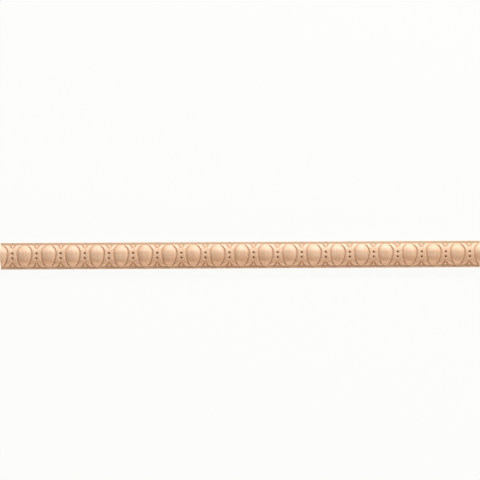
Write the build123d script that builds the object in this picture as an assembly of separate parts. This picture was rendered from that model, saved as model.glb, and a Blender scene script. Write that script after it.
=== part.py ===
"""Egg-and-dart trim strip: one length of hardwood moulding with a carved, rounded face and a flat back.

The strip lies on its back with the carving up: X runs along it, Y across it towards the broad end of the eggs,
and Z up from the back. The origin is the middle of the back. Sizes are in millimetres and angles in degrees.
"""

import os
from math import radians, sin, sqrt, tan

from build123d import *

# Driving dimensions of the moulding before it is carved.
length = 457.0  # one sawn end to the other
width = 25.4  # one long edge to the other
margin_width = 2.5  # flat margin along each long edge
margin_thickness = 4.5  # back to the face of the margins
band_rise = 4.0  # crown of the rounded band above the margins

# Driving dimensions of the carving.
pitch = 22.92  # one egg to the next
first_egg = -0.3  # centre of the first egg from the left end
carving_depth = 1.5  # face of the band down to the carved ground
draft = 8.0  # slope of the carved walls from upright
egg_width = 12.8  # across the egg, on the carved ground
egg_stand = 1.0  # crown of the egg above the crown of the band
egg_shoulder = 1.7  # widest part of the egg above the strip's centre line
egg_foot_gap = 0.5  # pointed end of the egg to the margin
shell_gap = 1.3  # egg to the edge of the shell round it
shell_foot_gap = 0.6  # the same at the pointed end, where the shell closes in
upper_fork = 5.7  # point of the upper pocket between two shells
upper_flare = 48.0  # each side of the upper pocket from the line of the dart
lower_fork = -5.0
lower_flare = 46.0
bud_width = 3.2  # across the shoulders of a bud, at its root
bud_end_width = 1.6  # across its blunt end, at the margin
bud_shoulder = 1.4  # shoulders to blunt end
bud_gap = 0.5  # tip of a bud to the fork it points at
bud_draft = 20.0  # slope of a bud's sides from upright
dot_diameter = 2.0  # on the face of the band
dot_depth = 1.5
dot_draft = 8.0  # slope of a dot's sides from upright
dot_sides = 7
dot_lift = 1.0  # how far above the band's face a punch begins
dot_spacing = 4.45  # upper dot to lower dot
dot_middle = 0.15  # middle of the two dots above the strip's centre line

# The rounded band is one arc between the margins.
band_half = width / 2 - margin_width
crown = margin_thickness + band_rise
band_radius = (band_half**2 + band_rise**2) / (2 * band_rise)
band_centre = crown - band_radius
seat = margin_thickness / 2  # how deep the raised figures are rooted in the wood under the ground
tool_top = crown + egg_stand + 1.0  # cutting shapes end above the tallest figure

# The egg is round about a long axis that lies deep in the strip, so only its crown shows.
egg_height = egg_stand + carving_depth
egg_radius = ((egg_width / 2) ** 2 + egg_height**2) / (2 * egg_height)
egg_axis = crown + egg_stand - egg_radius
end_share = sqrt(1 - ((margin_thickness - egg_axis) / egg_radius) ** 2)
egg_reach = (band_half + egg_shoulder - egg_foot_gap) / end_share

# A hollow surrounds each egg: half its width, its upper reach and its lower reach.
hollow = (egg_width / 2 + shell_gap, egg_radius + shell_gap, egg_reach + shell_foot_gap)

# Places of the eggs along the strip, from just before its left end to just past its right end, and of the darts.
egg_count = int((length - first_egg + hollow[0]) / pitch) + 1
egg_places = [first_egg - length / 2 + pitch * i for i in range(egg_count)]
dart_places = [x + pitch / 2 for x in egg_places]


def face_height(y):
    """Height of the band's face at a distance from the strip's centre line."""
    return band_centre + sqrt(band_radius**2 - y**2)


def along_strip(profile):
    """A closed outline in (across, up), run along the strip and well past both ends."""
    section = make_face(Plane.YZ * profile)
    return extrude(section, amount=length / 2 + pitch, both=True)


def carved_ground():
    """The wood under the carving: flat back and margins, and the band's arc sunk by the carving depth."""
    sunk_centre = band_centre - carving_depth
    sunk_half = sqrt(band_radius**2 - (margin_thickness - sunk_centre) ** 2)
    arc = ThreePointArc(
        (sunk_half, margin_thickness), (0, crown - carving_depth), (-sunk_half, margin_thickness)
    )
    sides = Polyline(
        (-sunk_half, margin_thickness),
        (-width / 2, margin_thickness),
        (-width / 2, 0),
        (width / 2, 0),
        (width / 2, margin_thickness),
        (sunk_half, margin_thickness),
    )
    return along_strip(arc + sides)


def rounded_band():
    """The band at its full height, rooted in the wood under it."""
    arc = ThreePointArc((band_half, margin_thickness), (0, crown), (-band_half, margin_thickness))
    sides = Polyline(
        (-band_half, margin_thickness), (-band_half, seat), (band_half, seat), (band_half, margin_thickness)
    )
    return along_strip(arc + sides)


def hollow_outline(z):
    """The hollow's outline at a height: two half ellipses that share the shoulder line, wider as it rises."""
    spread = tan(radians(draft)) * (z - crown)
    half, upper, lower = (reach + spread for reach in hollow)
    top = EllipticalCenterArc((0, egg_shoulder), half, upper, 0, arc_size=180)
    foot = EllipticalCenterArc((0, egg_shoulder), half, lower, 180, arc_size=180)
    return Pos(0, 0, z) * make_face(top + foot)


def egg():
    """One egg, turned about its long axis: half a ball at its broad end and half an ellipsoid at its foot."""
    ball = CenterArc((0, 0), egg_radius, 0, 90)
    foot = EllipticalCenterArc((0, 0), egg_reach, egg_radius, 90, arc_size=90)
    half = make_face(Plane.YZ * (ball + foot + Line((-egg_reach, 0), (egg_radius, 0))))
    turned = Pos(0, egg_shoulder, egg_axis) * revolve(half, Axis.Y)
    return split(turned, Plane.XY.offset(seat), keep=Keep.TOP)


def on_side(fork, shape):
    """A shape drawn for the upper side of the strip, turned half round where its fork lies on the lower side."""
    return shape if fork > 0 else Rot(Z=180) * shape


def pocket(fork, flare):
    """A V-shaped cutter whose point is true on the band's face and whose sides run out past the long edge."""
    narrowing = tan(radians(draft)) * (face_height(fork) - seat)
    point = abs(fork) + narrowing / sin(radians(flare))
    half = (width - point) * tan(radians(flare))
    outline = Polyline((0, point), (half, width), (-half, width), close=True)
    cutter = extrude(Pos(0, 0, seat) * make_face(outline), amount=tool_top - seat, taper=-draft)
    return on_side(fork, cutter)


def bud(fork):
    """A pointed plug: its tip near the fork it points at, its blunt end at the margin on that side."""
    shoulder = band_half - bud_shoulder
    outline = Polyline(
        (0, abs(fork) + bud_gap),
        (bud_width / 2, shoulder),
        (bud_end_width / 2, band_half),
        (-bud_end_width / 2, band_half),
        (-bud_width / 2, shoulder),
        close=True,
    )
    plug = extrude(Pos(0, 0, margin_thickness) * make_face(outline), amount=band_rise, taper=bud_draft)
    return on_side(fork, plug)


def dot(y):
    """The mark of a blunt punch with a few flat sides, sunk into the band's face."""
    rim = dot_diameter / 2 + tan(radians(dot_draft)) * dot_lift
    outline = Pos(0, y, face_height(y) + dot_lift) * RegularPolygon(rim, dot_sides)
    return extrude(outline, amount=-(dot_lift + dot_depth), taper=dot_draft)


def copies(shape, places):
    """The same shape at each place along the strip."""
    return [Pos(x, 0, 0) * shape for x in places]


hollows = copies(loft([hollow_outline(seat), hollow_outline(tool_top)], ruled=True), egg_places)
pockets = copies(pocket(upper_fork, upper_flare), dart_places)
pockets += copies(pocket(lower_fork, lower_flare), dart_places)
eggs = copies(egg(), egg_places)
buds = copies(bud(upper_fork), dart_places) + copies(bud(lower_fork), dart_places)
dots = [
    Pos(x, 0, 0) * dot(dot_middle + side * dot_spacing / 2) for x in dart_places for side in (1, -1)
]

band = rounded_band()
figures = band - hollows - pockets + (band & (Part() + buds))
strip = (carved_ground() + figures + eggs) - dots
between_ends = Box(length, 2 * width, 2 * tool_top)
strip = strip & between_ends

os.makedirs("parts", exist_ok=True)
export_step(strip, "parts/moulding_strip.step")
print("strip: solids", len(strip.solids()), "faces", len(strip.faces()), "volume", round(strip.volume))
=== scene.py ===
# %% [markdown]
# # A strip of egg-and-dart trim
# The object is one length of pale beech with a row of eggs pressed into its rounded face. It has a flat
# back, a flat margin along each long edge, and two sawn ends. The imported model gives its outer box.
# This script adds what the eye looks for: soft carved edges, the grain of the wood and its satin
# polish.

# %% Load the frame
from math import cos, pi, radians, sin

import bpy
from mathutils import Matrix, Vector


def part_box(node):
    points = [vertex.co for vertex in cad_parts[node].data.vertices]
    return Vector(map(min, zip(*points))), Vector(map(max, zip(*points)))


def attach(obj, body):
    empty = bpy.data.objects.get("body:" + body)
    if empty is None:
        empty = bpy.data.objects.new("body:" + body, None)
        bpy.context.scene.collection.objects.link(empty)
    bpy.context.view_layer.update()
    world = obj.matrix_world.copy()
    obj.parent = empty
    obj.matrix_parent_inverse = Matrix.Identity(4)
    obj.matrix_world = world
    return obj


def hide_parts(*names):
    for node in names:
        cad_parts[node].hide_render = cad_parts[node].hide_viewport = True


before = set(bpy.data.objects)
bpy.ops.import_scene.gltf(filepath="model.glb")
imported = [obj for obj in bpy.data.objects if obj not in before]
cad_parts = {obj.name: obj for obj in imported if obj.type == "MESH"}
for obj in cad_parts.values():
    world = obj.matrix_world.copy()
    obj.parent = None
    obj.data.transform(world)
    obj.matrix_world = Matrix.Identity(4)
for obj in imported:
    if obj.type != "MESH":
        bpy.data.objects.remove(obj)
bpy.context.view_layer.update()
low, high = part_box("moulding_strip")
METRE = 1000.0  # millimetres in a metre
length, width, height = (high - low) * METRE
print(f"strip {length:.1f} x {width:.1f} x {height:.1f} mm")

# %% [markdown]
# Two small helpers serve the whole script. One turns a colour as a painter writes it into the linear
# numbers that a renderer adds up. The other adds a node to a tree: it sets the node's settings, and
# then joins or fills the sockets that are in use, in the order in which the node shows them.


# %% Helpers for colours and nodes
def linear(hex_colour):
    """The linear colour of an sRGB hex value such as DCAC89."""
    shares = [int(hex_colour[i : i + 2], 16) / 255 for i in (0, 2, 4)]
    return [s / 12.92 if s <= 0.04045 else ((s + 0.055) / 1.055) ** 2.4 for s in shares] + [1.0]


def add(tree, kind, *sockets, **settings):
    """A new node. Each further value fills the next socket. A socket or a node is joined to it instead.

    None leaves a socket alone.
    """
    node = tree.nodes.new(kind)
    for name, value in settings.items():
        setattr(node, name, value)
    shown = [socket for socket in node.inputs if socket.enabled]
    for socket, value in zip(shown, sockets):
        if isinstance(value, bpy.types.Node):
            value = next(output for output in value.outputs if output.enabled)
        if isinstance(value, bpy.types.NodeSocket):
            tree.links.new(value, socket)
        elif value is not None:
            socket.default_value = value
    return node


MATH = "ShaderNodeMath"
MIX = "ShaderNodeMix"
RANGE = "ShaderNodeMapRange"
VECTOR = "ShaderNodeVectorMath"
PALE_BEECH = "E3BB9C"
print("pale beech in linear light:", [round(share, 3) for share in linear(PALE_BEECH)[:3]])

# %% [markdown]
# ## The strip as a rule
# A moulding is planed to one section and then pressed by a roller, so its shape follows a rule: the
# same figure at each pitch. It could be modelled once and arrayed, but the ends cut the figure where
# they please. So Geometry Nodes sweep the plain section along a line and then lift each point of its
# face to the height that the rule gives there. All sizes are in millimetres, as on a maker's drawing.
# "Above" means towards the broad ends of the eggs.

# %% Sizes of the moulding
margin_width = 2.5
margin_thickness = 4.5
egg_stand = 1.0  # crown of the egg above the crown of the band
carving_depth = 1.5
hollow_floor = 0.25  # share of the carving depth that is left standing in the hollow round an egg
band_half = width / 2 - margin_width
crown = height - egg_stand
band_rise = crown - margin_thickness
band_radius = (band_half**2 + band_rise**2) / (2 * band_rise)

# The egg is a dome on the carved ground. Its outline is two half ovals that meet at its widest part.
egg_half_width = 6.6
egg_upper_reach = 7.7
egg_lower_reach = 12.5
shell_gap = 1.5  # egg to the brow of the shell round it, at the egg's side
shell_top_gap = 1.2
shell_foot_gap = 0.7

sizes = {
    "Length": length,
    "Width": width,
    "Margin Thickness": margin_thickness,
    "Band Half Width": band_half,
    "Band Radius": band_radius,
    "Band Centre": crown - band_radius,
    "Carving Depth": carving_depth,
    "Pitch": 22.92,
    "First Egg": -0.3 - length / 2,  # its axis lies just before the left end
    "Egg Shoulder": 2.2,  # its widest part above the strip's centre line
    "Egg Height": egg_stand + carving_depth * (1 - hollow_floor),
    "Egg Half Width": egg_half_width,
    "Egg Upper Reach": egg_upper_reach,
    "Egg Lower Reach": egg_lower_reach,
    "Hollow Floor": hollow_floor,
    "Hollow Half Width": egg_half_width + shell_gap,
    "Hollow Upper Reach": egg_upper_reach + shell_top_gap,
    "Hollow Lower Reach": egg_lower_reach + shell_foot_gap,
    "Valley Depth": 0.2,  # the web between two shells dips along the line of the dart
    "Valley Half Width": 2.2,
    "Upper Fork": 5.7,  # point of the pocket between two shells, from the centre line
    "Upper Flare": radians(48.0),  # each side of the pocket from the line of the dart
    "Lower Fork": 5.0,
    "Lower Flare": radians(46.0),
    "Bud Gap": 0.5,  # tip of a bud to the fork it points at
    "Bud Half Width": 1.6,
    "Upper Bud Lift": 0.0,  # how far a bud stands up from the band's slope
    "Lower Bud Lift": 1.2,
    "Upper Dot": 2.375,  # its middle, from the centre line
    "Lower Dot": -2.075,
    "Dot Radius": 1.0,
    "Dot Depth": 1.5,
}
egg_length = egg_upper_reach + egg_lower_reach
print(f"egg {2 * egg_half_width:.1f} x {egg_length:.1f} mm, band radius {band_radius:.2f} mm")

# %% [markdown]
# A tree for a modifier needs an interface: a socket for each size, one for the finish, and one for the
# result. The sizes then show by name on the modifier, and another length or pitch can be tried without
# touching a node.

# %% Start the tree
tree = bpy.data.node_groups.new("carved_moulding", "GeometryNodeTree")
tree.is_modifier = True
for name, value in sizes.items():
    tree.interface.new_socket(name, in_out="INPUT", socket_type="NodeSocketFloat").default_value = value
tree.interface.new_socket("Wood", in_out="INPUT", socket_type="NodeSocketMaterial")
tree.interface.new_socket("Strip", in_out="OUTPUT", socket_type="NodeSocketGeometry")
size = add(tree, "NodeGroupInput").outputs
print(len(sizes), "named sizes")

# %% [markdown]
# The blank is a rectangle with eased corners, swept along a straight line with its ends closed. Only
# the top edge of the rectangle is cut into many short stretches, because only the face will be carved.
# The sweep turns the rectangle upside down, so that edge is the low one here, and it starts at its
# left-hand point.

# %% The planed blank
COLUMNS = 1180  # stretches along the strip, about 59 for each egg
ROWS = 68  # stretches across its face
EASED = 0.3  # radius of the eased corners
CORNER_POINTS = 3
TINY = 0.01  # less than the distance between any two heights that are told apart

half_length = add(tree, MATH, size["Length"], 0.5, operation="MULTIPLY")
half_thickness = add(tree, MATH, size["Margin Thickness"], 0.5, operation="MULTIPLY")
rectangle = add(tree, "GeometryNodeCurvePrimitiveQuadrilateral", size["Width"], size["Margin Thickness"])
eased = add(tree, "GeometryNodeFilletCurve", rectangle, mode="POLY")
eased.inputs["Count"].default_value = CORNER_POINTS
eased.inputs["Radius"].default_value = EASED

corner = add(tree, "ShaderNodeSeparateXYZ", add(tree, "GeometryNodeInputPosition")).outputs
low_line = add(tree, MATH, TINY, half_thickness, operation="SUBTRACT")
is_low = add(tree, MATH, corner["Y"], low_line, operation="LESS_THAN")
is_left = add(tree, MATH, corner["X"], 0.0, operation="LESS_THAN")
starts_face = add(tree, MATH, is_low, is_left, operation="MULTIPLY")
cuts = add(tree, MATH, starts_face, ROWS - 1.0, operation="MULTIPLY")
section = add(tree, "GeometryNodeSubdivideCurve", eased, cuts)

left_end = add(tree, MATH, half_length, -1.0, operation="MULTIPLY")
start = add(tree, "ShaderNodeCombineXYZ", left_end, 0.0, half_thickness)
end = add(tree, "ShaderNodeCombineXYZ", half_length, 0.0, half_thickness)
rail = add(tree, "GeometryNodeCurvePrimitiveLine", start, end)
rail = add(tree, "GeometryNodeResampleCurve", rail, True, COLUMNS + 1)
rail = add(tree, "GeometryNodeSetCurveNormal", rail, mode="Z_UP")
blank = add(tree, "GeometryNodeCurveToMesh", rail, section)
blank.inputs["Fill Caps"].default_value = True
print(f"blank of {COLUMNS} columns, {length / COLUMNS:.2f} mm apart, and {ROWS} rows")

# %% [markdown]
# ## Where a point lies in the pattern
# Each point needs its distance from the nearest egg's long axis, and from the line of the dart between
# two eggs. A plain grid would cut across the curved grooves and leave them notched. So the columns are
# first bent: the ones near the middle of an egg spread out to its hollow's width on that line, and the
# others share what is left. The sawn ends stay flat, so the bending fades out towards them.

# %% Bend the columns round the eggs
EGG_SHARE = 0.62  # share of the columns that belong to the egg and its groove
END_FADE = 6.0  # stretch before each sawn end where the bending fades out

spot = add(tree, "ShaderNodeSeparateXYZ", add(tree, "GeometryNodeInputPosition")).outputs
half_pitch = add(tree, MATH, size["Pitch"], 0.5, operation="MULTIPLY")
minus_half_pitch = add(tree, MATH, half_pitch, -1.0, operation="MULTIPLY")
from_first = add(tree, MATH, spot["X"], size["First Egg"], operation="SUBTRACT")
from_egg = add(tree, MATH, from_first, half_pitch, minus_half_pitch, operation="WRAP")
egg_centre = add(tree, MATH, spot["X"], from_egg, operation="SUBTRACT")
side = add(tree, MATH, from_egg, operation="SIGN")
share = add(tree, MATH, add(tree, MATH, from_egg, operation="ABSOLUTE"), half_pitch, operation="DIVIDE")

minus_band_half = add(tree, MATH, size["Band Half Width"], -1.0, operation="MULTIPLY")
in_band = add(tree, "ShaderNodeClamp", spot["Y"], minus_band_half, size["Band Half Width"])
above = add(tree, MATH, in_band, size["Egg Shoulder"], operation="SUBTRACT")
is_above = add(tree, MATH, above, 0.0, operation="GREATER_THAN")
hollow_reaches = size["Hollow Lower Reach"], size["Hollow Upper Reach"]
hollow_end = add(tree, MIX, is_above, *hollow_reaches, data_type="FLOAT")
climb = add(tree, MATH, add(tree, MATH, above, hollow_end, operation="DIVIDE"), 2.0, operation="POWER")
shrink = add(tree, MATH, add(tree, MATH, 1.0, climb, operation="SUBTRACT"), operation="SQRT")
hollow_half = add(tree, MATH, size["Hollow Half Width"], shrink, operation="MULTIPLY")
web_half = add(tree, MATH, half_pitch, hollow_half, operation="SUBTRACT")

egg_part = add(tree, RANGE, share, 0.0, EGG_SHARE, 0.0, hollow_half)
web_part = add(tree, RANGE, share, EGG_SHARE, 1.0, 0.0, web_half)
bent = add(tree, MATH, egg_part, web_part, operation="ADD")
bent_x = add(tree, MATH, bent, side, egg_centre, operation="MULTIPLY_ADD")

from_middle = add(tree, MATH, spot["X"], operation="ABSOLUTE")
fade_line = add(tree, MATH, half_length, END_FADE, operation="SUBTRACT")
fade = add(tree, RANGE, from_middle, fade_line, half_length)
carved_x = add(tree, MIX, fade, bent_x, spot["X"], data_type="FLOAT")
across_egg = add(tree, MATH, carved_x, egg_centre, operation="SUBTRACT")
along_egg = add(tree, MATH, spot["Y"], size["Egg Shoulder"], operation="SUBTRACT")
from_axis = add(tree, MATH, across_egg, operation="ABSOLUTE")
from_dart = add(tree, MATH, half_pitch, from_axis, operation="SUBTRACT")
print("eggs along the strip:", round(length / sizes["Pitch"], 2))

# %% [markdown]
# ## The heights
# Three surfaces lie over each other: the rounded band, the ground that the carving goes down to, and
# the margin. The band and the ground are arcs about one line deep under the strip. The margin cuts both
# off level, and a smooth maximum leaves the small fillet that a planer's knife would leave there.

# %% Band and ground
CREASE = 0.25  # softness of the crease between band and margin

y_squared = add(tree, MATH, spot["Y"], 2.0, operation="POWER")
radius_squared = add(tree, MATH, size["Band Radius"], 2.0, operation="POWER")
arc = add(tree, MATH, add(tree, MATH, radius_squared, y_squared, operation="SUBTRACT"), operation="SQRT")
arc = add(tree, MATH, arc, size["Band Centre"], operation="ADD")
sunk_arc = add(tree, MATH, arc, size["Carving Depth"], operation="SUBTRACT")
face = add(tree, MATH, arc, size["Margin Thickness"], CREASE, operation="SMOOTH_MAX")
ground = add(tree, MATH, sunk_arc, size["Margin Thickness"], CREASE, operation="SMOOTH_MAX")
print(f"band rises {band_rise:.2f} mm above the margins")

# %% [markdown]
# The egg is the figure that gives the ornament its name: a smooth swell, broad above and drawn out to a
# foot below. A ball set into the wood would have its crown at its widest part. The real egg is pressed
# into a rounded band, so it is a low dome that rides on the band's curve, and its crown comes lower.
# The dome's foot starts a little under the ground, and the smooth maximum further down rounds the join.

# %% Egg
DOME = 0.5  # power of the dome: half is an ellipsoid, more is a softer swell
FULL = 2.4  # power of the outline lengthwise: two is an oval, more is fuller towards its ends
SOFT_FOOT = 0.3  # softness where the egg meets the ground

egg_end = add(tree, MIX, is_above, size["Egg Lower Reach"], size["Egg Upper Reach"], data_type="FLOAT")
share_across = add(tree, MATH, across_egg, size["Egg Half Width"], operation="DIVIDE")
from_shoulder = add(tree, MATH, along_egg, egg_end, operation="DIVIDE")
share_along = add(tree, MATH, from_shoulder, operation="ABSOLUTE")
used_across = add(tree, MATH, share_across, 2.0, operation="POWER")
used_along = add(tree, MATH, share_along, FULL, operation="POWER")
used = add(tree, MATH, used_across, used_along, operation="ADD")
left_over = add(tree, MATH, 1.0, used, operation="SUBTRACT")
left_over = add(tree, MATH, left_over, 0.0, operation="MAXIMUM")
dome = add(tree, MATH, left_over, DOME, operation="POWER")
egg_rise = add(tree, MATH, size["Egg Height"], SOFT_FOOT, operation="ADD")
hollow_ground = add(tree, MIX, size["Hollow Floor"], ground, face, data_type="FLOAT")
egg_root = add(tree, MATH, hollow_ground, SOFT_FOOT, operation="SUBTRACT")
egg = add(tree, MATH, dome, egg_rise, egg_root, operation="MULTIPLY_ADD")
print(f"egg stands {sizes['Egg Height']:.2f} mm over its hollow")

# %% [markdown]
# The hollow round the egg is an oval too. Its wall should have the same slope all the way round, so the
# distance from the oval is needed and not only whether a point is inside. Dividing the oval's formula
# by its own steepness gives that distance well enough near the wall.

# %% Hollow round the egg
WALL = 0.9  # width of a carved wall, from its foot to its brow
LEAST_STEEP = 0.001  # keeps the division safe at the oval's centre

oval_u = add(tree, MATH, across_egg, size["Hollow Half Width"], operation="DIVIDE")
oval_v = add(tree, MATH, along_egg, hollow_end, operation="DIVIDE")
oval = add(tree, VECTOR, add(tree, "ShaderNodeCombineXYZ", oval_u, oval_v), operation="LENGTH")
steep_u = add(tree, MATH, oval_u, size["Hollow Half Width"], operation="DIVIDE")
steep_v = add(tree, MATH, oval_v, hollow_end, operation="DIVIDE")
steep = add(tree, VECTOR, add(tree, "ShaderNodeCombineXYZ", steep_u, steep_v), operation="LENGTH")
beyond = add(tree, MATH, add(tree, MATH, oval, -1.0, operation="ADD"), oval, operation="MULTIPLY")
steepness = add(tree, MATH, steep, LEAST_STEEP, operation="MAXIMUM")
outside = add(tree, MATH, beyond, steepness, operation="DIVIDE")
raised = add(tree, RANGE, outside, -WALL, 0.0, size["Hollow Floor"], 1.0, interpolation_type="SMOOTHSTEP")
print(f"hollow {2 * sizes['Hollow Half Width']:.1f} mm wide")

# %% [markdown]
# Between two shells a pocket opens towards each margin, and a bud stands in it. Both are worked out
# from the distance to the line of the dart: the pocket's sides run away from that line at a fixed
# angle, and the bud swells from its tip and narrows again to the margin, as a drop does. The lower bud
# also stands up from the slope of the band, so it catches the light that passes over the pocket.

# %% Pockets and buds
BUD_SHOULDER = 0.63  # where a bud is widest, as a share of the way from the fork to the margin
BUD_END = 0.6  # its width at the margin, as a share of its widest
BUD_TIP = 0.05  # half width of its tip
BUD_SOFT = 0.1  # softness where it meets the pocket's floor, as a share of the carving depth

buds = []
lifts = []
for name, direction in (("Upper", 1.0), ("Lower", -1.0)):
    fork, flare = size[f"{name} Fork"], size[f"{name} Flare"]
    to_margin = add(tree, MATH, spot["Y"], direction, operation="MULTIPLY")
    past_fork = add(tree, MATH, to_margin, fork, operation="SUBTRACT")
    rise = add(tree, MATH, past_fork, add(tree, MATH, flare, operation="SINE"), operation="MULTIPLY")
    lean = add(tree, MATH, from_dart, add(tree, MATH, flare, operation="COSINE"), operation="MULTIPLY")
    inside = add(tree, MATH, rise, lean, operation="SUBTRACT")
    kept = add(tree, RANGE, inside, 0.0, WALL, 1.0, 0.0, interpolation_type="SMOOTHSTEP")
    raised = add(tree, MATH, raised, kept, operation="MULTIPLY")

    pocket_end = add(tree, MATH, size["Band Half Width"], fork, operation="SUBTRACT")
    shoulder = add(tree, MATH, pocket_end, BUD_SHOULDER, operation="MULTIPLY")
    along_bud = add(tree, MATH, past_fork, size["Bud Gap"], operation="SUBTRACT")
    swell = add(tree, RANGE, along_bud, 0.0, shoulder, BUD_TIP, size["Bud Half Width"])
    narrow = add(tree, RANGE, along_bud, shoulder, pocket_end, 1.0, BUD_END)
    bud_half = add(tree, MATH, swell, narrow, operation="MULTIPLY")
    bud_share = add(tree, MATH, from_dart, bud_half, operation="DIVIDE")
    bud_used = add(tree, MATH, bud_share, 2.0, operation="POWER")
    bud_round = add(tree, MATH, 1.0, bud_used, operation="SUBTRACT")
    bud_round = add(tree, MATH, bud_round, 0.0, operation="MAXIMUM")
    bud_starts = add(tree, MATH, along_bud, 0.0, operation="GREATER_THAN")
    bud = add(tree, MATH, bud_round, bud_starts, operation="MULTIPLY")
    buds.append(bud)

    bud_climb = add(tree, RANGE, along_bud, 0.0, shoulder, interpolation_type="SMOOTHSTEP")
    bud_fall = add(
        tree, RANGE, past_fork, shoulder, pocket_end, 1.0, 0.0, interpolation_type="SMOOTHSTEP"
    )
    bud_arch = add(tree, MATH, bud_climb, bud_fall, operation="MULTIPLY")
    bud_arch = add(tree, MATH, bud_arch, bud, operation="MULTIPLY")
    lifts.append(add(tree, MATH, bud_arch, size[f"{name} Bud Lift"], operation="MULTIPLY"))
for bud in buds:
    raised = add(tree, MATH, raised, bud, BUD_SOFT, operation="SMOOTH_MAX")
print(len(buds), "pockets and buds on each dart")

# %% [markdown]
# Now the relief can be put together. What is raised lies on the band's face, with a faint valley along
# the dart, and the rest lies on the ground. The egg goes over it. Last come the two round dots of each
# dart, which a blunt punch drove in, so their rims are soft and their floors small.

# %% Relief, eggs and dots
DOT_FLOOR = 0.6  # edge of a dot's floor and of its soft rim, as shares of its radius
DOT_RIM = 1.35

valley = add(
    tree, RANGE, from_dart, 0.0, size["Valley Half Width"], size["Valley Depth"], 0.0,
    interpolation_type="SMOOTHSTEP",
)
crest = add(tree, MATH, face, valley, operation="SUBTRACT")
for lift in lifts:
    crest = add(tree, MATH, crest, lift, operation="ADD")
relief = add(tree, MIX, raised, ground, crest, data_type="FLOAT")
relief = add(tree, MATH, relief, egg, SOFT_FOOT, operation="SMOOTH_MAX")
dot_floor = add(tree, MATH, size["Dot Radius"], DOT_FLOOR, operation="MULTIPLY")
dot_rim = add(tree, MATH, size["Dot Radius"], DOT_RIM, operation="MULTIPLY")
for name in ("Upper Dot", "Lower Dot"):
    from_dot = add(tree, MATH, spot["Y"], size[name], operation="SUBTRACT")
    arm = add(tree, VECTOR, add(tree, "ShaderNodeCombineXYZ", from_dart, from_dot), operation="LENGTH")
    dimple = add(
        tree, RANGE, arm, dot_floor, dot_rim, size["Dot Depth"], 0.0, interpolation_type="SMOOTHSTEP"
    )
    relief = add(tree, MATH, relief, dimple, operation="SUBTRACT")
print(f"dots {2 * DOT_RIM * sizes['Dot Radius']:.1f} mm across their rims")

# %% [markdown]
# The last nodes move the points of the face to their heights. They also store two things that the
# finish will want to know: how deep each point lies under the band's face, which browns the grooves,
# pockets and dots, partly as the scorch of a hot press and partly as painted shade, and how far up an
# egg it lies. Realize Instances and Set Material close the tree, as a plain mesh needs.

# %% Carve the face
face_line = add(tree, MATH, size["Margin Thickness"], TINY, operation="SUBTRACT")
on_face = add(tree, MATH, spot["Z"], face_line, operation="GREATER_THAN")
new_place = add(tree, "ShaderNodeCombineXYZ", carved_x, spot["Y"], relief)
sunk = add(tree, MATH, add(tree, MATH, face, relief, operation="SUBTRACT"), on_face, operation="MULTIPLY")
depth_share = add(tree, MATH, sunk, size["Carving Depth"], operation="DIVIDE", use_clamp=True)
dome_share = add(tree, MATH, dome, on_face, operation="MULTIPLY")

marked = add(tree, "GeometryNodeStoreNamedAttribute", blank, True, "pressed", depth_share)
marked = add(tree, "GeometryNodeStoreNamedAttribute", marked, True, "domed", dome_share)
carved = add(tree, "GeometryNodeSetPosition", marked, on_face, new_place)
in_metres = add(tree, "GeometryNodeTransform", carved)
in_metres.inputs["Scale"].default_value = [1 / METRE] * 3
smooth = add(tree, "GeometryNodeSetShadeSmooth", in_metres)
real = add(tree, "GeometryNodeRealizeInstances", smooth)
finished = add(tree, "GeometryNodeSetMaterial", real, True, size["Wood"])
add(tree, "NodeGroupOutput", finished)
print(len(tree.nodes), "nodes in the tree")

# %% [markdown]
# ## The wood
# The strip looks like steamed beech: a pinkish tan, with straight fine grain along the strip and short
# brown flecks, the cut ends of its rays. It was planed and pressed, which leaves a satin skin. A
# photograph of wood would not fit the carving, so the grain is drawn by noise that is stretched along
# the strip. The noise fills space, so the grain runs through the wood, and the sawn ends show it end
# on.

# %% Beech: colour along the grain
NOISE = "ShaderNodeTexNoise"
MAPPING = "ShaderNodeMapping"
BAND_RANGE = 0.3, 0.7  # nearly all of a noise lies between these values
STREAK_RANGE = 0.45, 0.75  # plain wood up to the first value, a full streak from the second
STREAK_STRENGTH = 0.35
FLECK_RANGE = 0.64, 0.74
FLECK_STRENGTH = 0.35

wood = bpy.data.materials.new("pressed_beech")
wood.use_nodes = True
paint = wood.node_tree
paint.nodes.clear()
where = add(paint, "ShaderNodeTexCoord").outputs


def repeats(along_mm, across_mm):
    """Repeats in a metre for a pattern this long and this wide."""
    return [METRE / along_mm, METRE / across_mm, METRE / across_mm]


# Growth shows as broad pale and dark bands, a few millimetres wide where a board is cut along the log.
# The numbers after a noise's mapping are its scale, its levels of detail and their roughness.
band_space = add(paint, MAPPING, where["Object"], None, None, repeats(140.0, 7.0))
bands = add(paint, NOISE, band_space, 1.0, 2.0, 0.5)
tone = add(paint, RANGE, bands, *BAND_RANGE, 0.0, 1.0)
colour = add(paint, MIX, tone, linear("DAAE8B"), linear(PALE_BEECH), data_type="RGBA")

# Beech pores are about 0.07 mm wide, too fine to show, so their streaks are drawn 0.9 mm wide.
grain_space = add(paint, MAPPING, where["Object"], None, None, repeats(28.0, 0.9))
grain = add(paint, NOISE, grain_space, 1.0, 3.0, 0.6)
streaks = add(paint, RANGE, grain, *STREAK_RANGE, 0.0, STREAK_STRENGTH)
colour = add(paint, MIX, streaks, colour, linear("BE8B65"), data_type="RGBA")

# Ray flecks are 2 to 4 mm long and a few tenths of a millimetre wide.
fleck_space = add(paint, MAPPING, where["Object"], None, None, repeats(3.2, 0.45))
flecks = add(paint, NOISE, fleck_space, 1.0, 1.0, 0.5)
dashes = add(paint, RANGE, flecks, *FLECK_RANGE, 0.0, FLECK_STRENGTH)
colour = add(paint, MIX, dashes, colour, linear("A87450"), data_type="RGBA")
print("grain, bands and flecks drawn")
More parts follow.
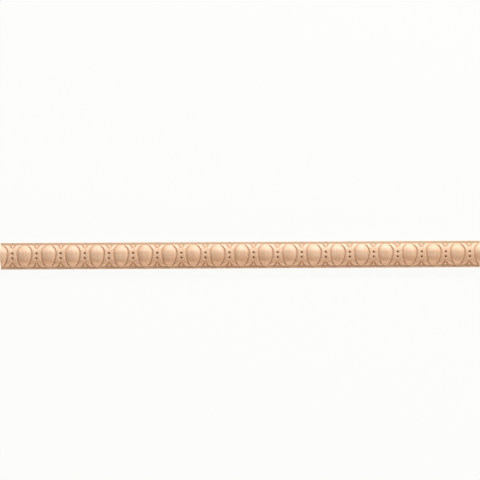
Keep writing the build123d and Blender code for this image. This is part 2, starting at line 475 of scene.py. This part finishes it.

# %% [markdown]
# The press leaves its own marks. The deeper the wood lies, the browner it is painted, in the grooves,
# pockets and dots: partly the scorch of the hot roller, partly painted shade in those recesses. The eggs
# in its die were cut with long strokes, so each egg has faint lines along its length. Both follow the
# carving, and so they read the attributes that the tree stored. The saw leaves the ends rough and
# darker, because end grain drinks in light: those faces are found by the direction they look in.

# %% Beech: marks of the press and the saw, with painted shade in the recesses
SCORCH_AND_SHADE_LEVEL = 0.65  # how far the deepest wood goes towards brown, partly scorch and partly painted shade
DEEP_FIRST = 1.5  # power that keeps shallow grooves paler than the pockets and dots
STROKE_RANGE = 0.42, 0.7  # of the noise, from no line to a full one
STROKE_STRENGTH = 0.3
SAWN_RANGE = 0.9, 0.97  # how squarely a face looks along the strip, from planed to sawn
SAWN_STRENGTH = 0.55

# The deeper a point lies, the browner: partly scorch of the hot roller, partly painted shade in recesses.
pressed = add(paint, "ShaderNodeAttribute", attribute_name="pressed").outputs["Fac"]
scorch_and_shade_depth = add(paint, MATH, pressed, DEEP_FIRST, operation="POWER")
scorch_and_shade = add(paint, MATH, scorch_and_shade_depth, SCORCH_AND_SHADE_LEVEL, operation="MULTIPLY")
colour = add(paint, MIX, scorch_and_shade, colour, linear("A06C48"), data_type="RGBA")

domed = add(paint, "ShaderNodeAttribute", attribute_name="domed").outputs["Fac"]
stroke_space = add(paint, MAPPING, where["Object"], None, None, repeats(1.7, 22.0))
strokes = add(paint, NOISE, stroke_space, 1.0, 1.0, 0.5)
lines = add(paint, RANGE, strokes, *STROKE_RANGE, 0.0, STROKE_STRENGTH)
on_egg = add(paint, MATH, lines, domed, operation="MULTIPLY")
colour = add(paint, MIX, on_egg, colour, linear("BC8A66"), data_type="RGBA")

facing = add(paint, "ShaderNodeSeparateXYZ", where["Normal"]).outputs["X"]
endwise = add(paint, MATH, facing, operation="ABSOLUTE")
sawn = add(paint, RANGE, endwise, *SAWN_RANGE, 0.0, SAWN_STRENGTH)
colour = add(paint, MIX, sawn, colour, linear("B07F58"), data_type="RGBA")
print("press and saw marks drawn")

# %% [markdown]
# Bare beech that a steel roller has pressed is satin, not matt: roughness about a half, and the index
# of refraction of wood fibre. The streaks are a little duller and the flecks lie a little lower, by
# hundredths of a millimetre. A sawn end is rougher than the rest.

# %% Beech: skin
GRAIN_HEIGHT = 0.05  # millimetres
GRAIN_STRENGTH = 0.25
SATIN = 0.46, 0.56  # roughness, from plain wood to a streak
SAWN_ROUGHER = 0.4
FIBRE_IOR = 1.5

gloss = add(paint, RANGE, grain, *BAND_RANGE, *SATIN)
roughness = add(paint, MATH, sawn, SAWN_ROUGHER, gloss, operation="MULTIPLY_ADD")
surface = add(paint, MATH, grain, dashes, operation="SUBTRACT")
surface = add(paint, MATH, surface, on_egg, operation="SUBTRACT")
bump = add(paint, "ShaderNodeBump")
bump.inputs["Strength"].default_value = GRAIN_STRENGTH
bump.inputs["Distance"].default_value = GRAIN_HEIGHT / METRE
paint.links.new(surface.outputs[0], bump.inputs["Height"])

skin = add(paint, "ShaderNodeBsdfPrincipled", colour)
skin.inputs["IOR"].default_value = FIBRE_IOR
paint.links.new(roughness.outputs[0], skin.inputs["Roughness"])
paint.links.new(bump.outputs[0], skin.inputs["Normal"])
add(paint, "ShaderNodeOutputMaterial", skin)
print(wood.name, "has", len(paint.nodes), "nodes")

# %% [markdown]
# ## The finished piece
# The modifier gets its sizes by each socket's identifier. Then its result is copied to a plain mesh,
# and the modifier is taken off. Corners sharper than the carving's own are marked, so that the sawn
# ends stay crisp.

# %% Make the strip
SHARP = radians(60.0)  # least angle of a marked corner

strip = bpy.data.objects.new("strip", bpy.data.meshes.new("strip"))
bpy.context.scene.collection.objects.link(strip)
carving = strip.modifiers.new("carving", "NODES")
carving.node_group = tree
for item in tree.interface.items_tree:
    if item.in_out == "INPUT":
        carving[item.identifier] = wood if item.name == "Wood" else sizes[item.name]
depsgraph = bpy.context.evaluated_depsgraph_get()
solid = bpy.data.meshes.new_from_object(strip.evaluated_get(depsgraph), depsgraph=depsgraph)
strip.modifiers.remove(carving)
strip.data = solid
solid.set_sharp_from_angle(angle=SHARP)

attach(strip, "root")
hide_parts("moulding_strip")
solid.calc_loop_triangles()
print(len(solid.loop_triangles), "triangles")

# %% [markdown]
# ## The set
# The photograph is a studio shot on white. The floor is white card. The camera sees it almost as bright
# as paper can be, as an exposed backdrop, but it keeps a little of the strip's shadow.

# %% White floor
FLOOR_SIDE = 6.0
FLOOR_DROP = 0.0001  # metres under the strip's back
EXPOSED = 0.96  # share of the backdrop's own white that the camera sees
PAPER_WHITE = "FDFDFB"


def seen_directly(tree):
    """One for what the camera sees, straight or in a shiny surface, and nought for light that bounces."""
    ray = add(tree, "ShaderNodeLightPath").outputs
    seen = add(tree, MATH, ray["Is Camera Ray"], ray["Is Glossy Ray"], operation="ADD")
    return add(tree, MATH, seen, ray["Is Transmission Ray"], operation="ADD", use_clamp=True)


card = bpy.data.materials.new("white_card")
card.use_nodes = True
sheet = card.node_tree
sheet.nodes.clear()
matt = add(sheet, "ShaderNodeBsdfDiffuse", linear("F4F4F2"))
glow = add(sheet, "ShaderNodeEmission", linear(PAPER_WHITE), 1.0)
exposed = add(sheet, MATH, seen_directly(sheet), EXPOSED, operation="MULTIPLY")
add(sheet, "ShaderNodeOutputMaterial", add(sheet, "ShaderNodeMixShader", exposed, matt, glow))

reach = FLOOR_SIDE / 2
corners = [(x * reach, y * reach, -FLOOR_DROP) for x, y in ((-1, -1), (1, -1), (1, 1), (-1, 1))]
floor_mesh = bpy.data.meshes.new("floor")
floor_mesh.from_pydata(corners, [], [(0, 1, 2, 3)])
floor_mesh.materials.append(card)
floor = bpy.data.objects.new("floor", floor_mesh)
bpy.context.scene.collection.objects.link(floor)
print(f"floor {FLOOR_SIDE} m square")

# %% [markdown]
# A long low lamp stands beyond the upper edge and a little to the right. It rakes across the relief:
# the upper slopes are bright, the lower margin lies in the band's shadow, and the groove on each egg's
# right is the darker one. A weaker lamp, low on the near side, warms the feet of the eggs, as light
# does that comes back from a wooden bench. Its tint is warm and the first lamp's is a little cool, so
# the shaded slopes look redder than the lit ones. The rest of the room gives an even dim light, and the
# camera sees it white as the floor.

# %% Lights
ROOM_LIGHT = 0.34  # share of full white
LAMP_DISTANCE = 1.6  # metres

world = bpy.data.worlds.new("studio")
bpy.context.scene.world = world
world.use_nodes = True
room = world.node_tree
room.nodes.clear()
strength = add(room, RANGE, seen_directly(room), 0.0, 1.0, ROOM_LIGHT, 1.0)
add(room, "ShaderNodeOutputWorld", add(room, "ShaderNodeBackground", linear(PAPER_WHITE), strength))


def softbox(name, turn, elevation, wide, tall, level, tint):
    """A soft lamp aimed at the strip. At level 1 it alone makes a white surface that faces it white."""
    lamp_data = bpy.data.lights.new(name, "AREA")
    lamp_data.color = linear(tint)[:3]
    lamp_data.shape = "RECTANGLE"
    lamp_data.size = wide
    lamp_data.size_y = tall
    lamp_data.energy = level * (pi * LAMP_DISTANCE) ** 2
    lamp = bpy.data.objects.new(name, lamp_data)
    turn, elevation = radians(turn), radians(elevation)
    towards = Vector((sin(turn) * cos(elevation), cos(turn) * cos(elevation), sin(elevation)))
    lamp.location = towards * LAMP_DISTANCE
    lamp.rotation_euler = towards.to_track_quat("Z", "Y").to_euler()
    bpy.context.scene.collection.objects.link(lamp)
    print(f"{name} lamp at", [round(place, 2) for place in lamp.location])


softbox("key", turn=16.0, elevation=24.5, wide=2.0, tall=0.15, level=1.85, tint="F0FAFF")
softbox("fill", turn=180.0, elevation=9.0, wide=2.2, tall=0.25, level=0.85, tint="FFEAD6")

# %% [markdown]
# The camera looks almost straight down. The photograph's frame is square, 480 pixels a side, and the
# strip runs across all of it, a little below the middle and turned by a hair.

# %% Camera
FRAME_SIDE = 480.0
STRIP_PIXELS = 479.1  # length of the strip in the photograph
MIDDLE = (241.0, 255.1)  # the strip's middle in pixels, from the left and the top edge of the frame
ROLL = radians(0.287)  # turn of the strip in the frame
YAW = radians(0.87)  # lean of the camera along the strip
LENS = 100.0  # millimetres, as is the sensor
SENSOR = 36.0

camera_data = bpy.data.cameras.new("camera")
camera_data.lens = LENS
camera_data.sensor_width = SENSOR
pixel = length / METRE / STRIP_PIXELS
distance = pixel * FRAME_SIDE * LENS / SENSOR
camera = bpy.data.objects.new("camera", camera_data)
aim = Matrix.Rotation(-ROLL, 4, "Z") @ Matrix.Rotation(-YAW, 4, "Y")
aside = (MIDDLE[0] - FRAME_SIDE / 2) * pixel
upward = (FRAME_SIDE / 2 - MIDDLE[1]) * pixel
middle_offset = Vector((aside, upward, -distance))
strip_middle = Vector((0.0, 0.0, margin_thickness / METRE))
camera.matrix_world = Matrix.Translation(strip_middle - aim @ middle_offset) @ aim
bpy.context.scene.collection.objects.link(camera)
bpy.context.scene.camera = camera
bpy.context.scene.view_settings.view_transform = "Standard"
print(f"camera {distance:.3f} m above the strip, {pixel * METRE:.4f} mm a pixel")
